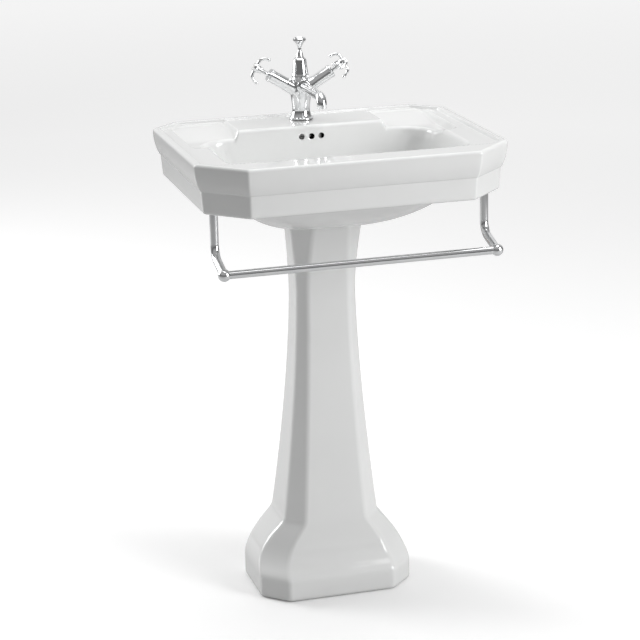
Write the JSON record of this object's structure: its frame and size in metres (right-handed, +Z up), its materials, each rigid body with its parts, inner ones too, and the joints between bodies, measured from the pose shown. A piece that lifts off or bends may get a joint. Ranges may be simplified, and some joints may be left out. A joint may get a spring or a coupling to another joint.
{
  "type": "pedestal basin",
  "caption": "Ceramic wash basin on a waisted pedestal, with a cross-handled mixer tap, pop-up waste, bottle trap and front towel rail.",
  "frame": {"origin": "on the floor, under the middle of the basin's plan", "axes": "+X to the right as seen from the front, +Y back to the wall, +Z up"},
  "size_m": [0.61, 0.51, 1.1109],
  "materials": {
    "white_glazed_ceramic": "white gloss glaze",
    "chrome_plate": "polished chrome plate",
    "bare_brass": "turned brass",
    "zinc_steel": "zinc plated",
    "copper_tube": "drawn copper",
    "white_enamel": "white enamel",
    "black_rubber": "soft black rubber",
    "white_plastic": "moulded white plastic"
  },
  "bodies": {
    "root": {"basin": "white_glazed_ceramic", "cold_cartridge": "bare_brass", "cold_tail": "copper_tube", "cold_valve_cover": "chrome_plate", "dome_cap": "chrome_plate", "hot_cartridge": "bare_brass", "hot_tail": "copper_tube", "hot_valve_cover": "chrome_plate", "left_rail_bracket": "chrome_plate", "lever_nut": "bare_brass", "lever_seal": "black_rubber", "pedestal": "white_glazed_ceramic", "rail_anchors": "bare_brass", "rail_flanges": "chrome_plate", "rail_studs": "zinc_steel", "right_rail_bracket": "chrome_plate", "spout": "chrome_plate", "spout_ring": "chrome_plate", "tap_backing_washer": "black_rubber", "tap_body": "chrome_plate", "tap_dome": "chrome_plate", "tap_fixing_nuts": "zinc_steel", "tap_fixing_plate": "zinc_steel", "tap_gasket": "black_rubber", "tap_studs": "zinc_steel", "towel_rail": "chrome_plate", "trap_body": "white_plastic", "trap_cup": "white_plastic", "trap_outlet_nut": "white_plastic", "trap_outlet_pipe": "white_plastic", "trap_top_nut": "white_plastic", "trap_tube": "white_plastic", "waste_back_nut": "bare_brass", "waste_body": "chrome_plate", "waste_seal": "black_rubber", "waste_washer": "black_rubber"},
    "hot_handle": {"hot_handle": "chrome_plate", "hot_spindle": "chrome_plate", "hot_handle_screw": "zinc_steel", "hot_index_button": "white_enamel"},
    "cold_handle": {"cold_handle": "chrome_plate", "cold_spindle": "chrome_plate", "cold_handle_screw": "zinc_steel", "cold_index_button": "white_enamel"},
    "lift_rod": {"lift_rod": "chrome_plate", "lift_knob": "chrome_plate", "lift_strap": "zinc_steel", "strap_clamp": "bare_brass", "strap_screw": "zinc_steel"},
    "lever": {"pop_up_lever": "zinc_steel"},
    "plug": {"waste_plug": "chrome_plate", "plug_seal": "black_rubber"}
  },
  "joints": [
    {"name": "hot_turn", "type": "hinge", "parent": "root", "child": "hot_handle", "pos_m": [-0.08743, 0.195, 1.05453], "axis": [-0.8572, 0, 0.515], "range_deg": [0, 90]},
    {"name": "cold_turn", "type": "hinge", "parent": "root", "child": "cold_handle", "pos_m": [0.08743, 0.195, 1.05453], "axis": [0.8572, 0, 0.515], "range_deg": [-90, 0]},
    {"name": "pop_up_lift", "type": "slide", "parent": "root", "child": "lift_rod", "axis": [0, 0, 1], "range_m": [0, 0.026]},
    {"name": "lever_tilt", "type": "hinge", "parent": "root", "child": "lever", "pos_m": [0, 0.0955, 0.735], "axis": [1, 0, 0], "range_deg": [0, 15.27]},
    {"name": "plug_drop", "type": "slide", "parent": "root", "child": "plug", "axis": [0, 0, -1], "range_m": [0, 0.00843]}
  ],
  "couplings": [
    {"joint": "lever_tilt", "follows": "pop_up_lift", "rad_per_m": 10.05},
    {"joint": "plug_drop", "follows": "pop_up_lift", "ratio": 0.31658}
  ]
}
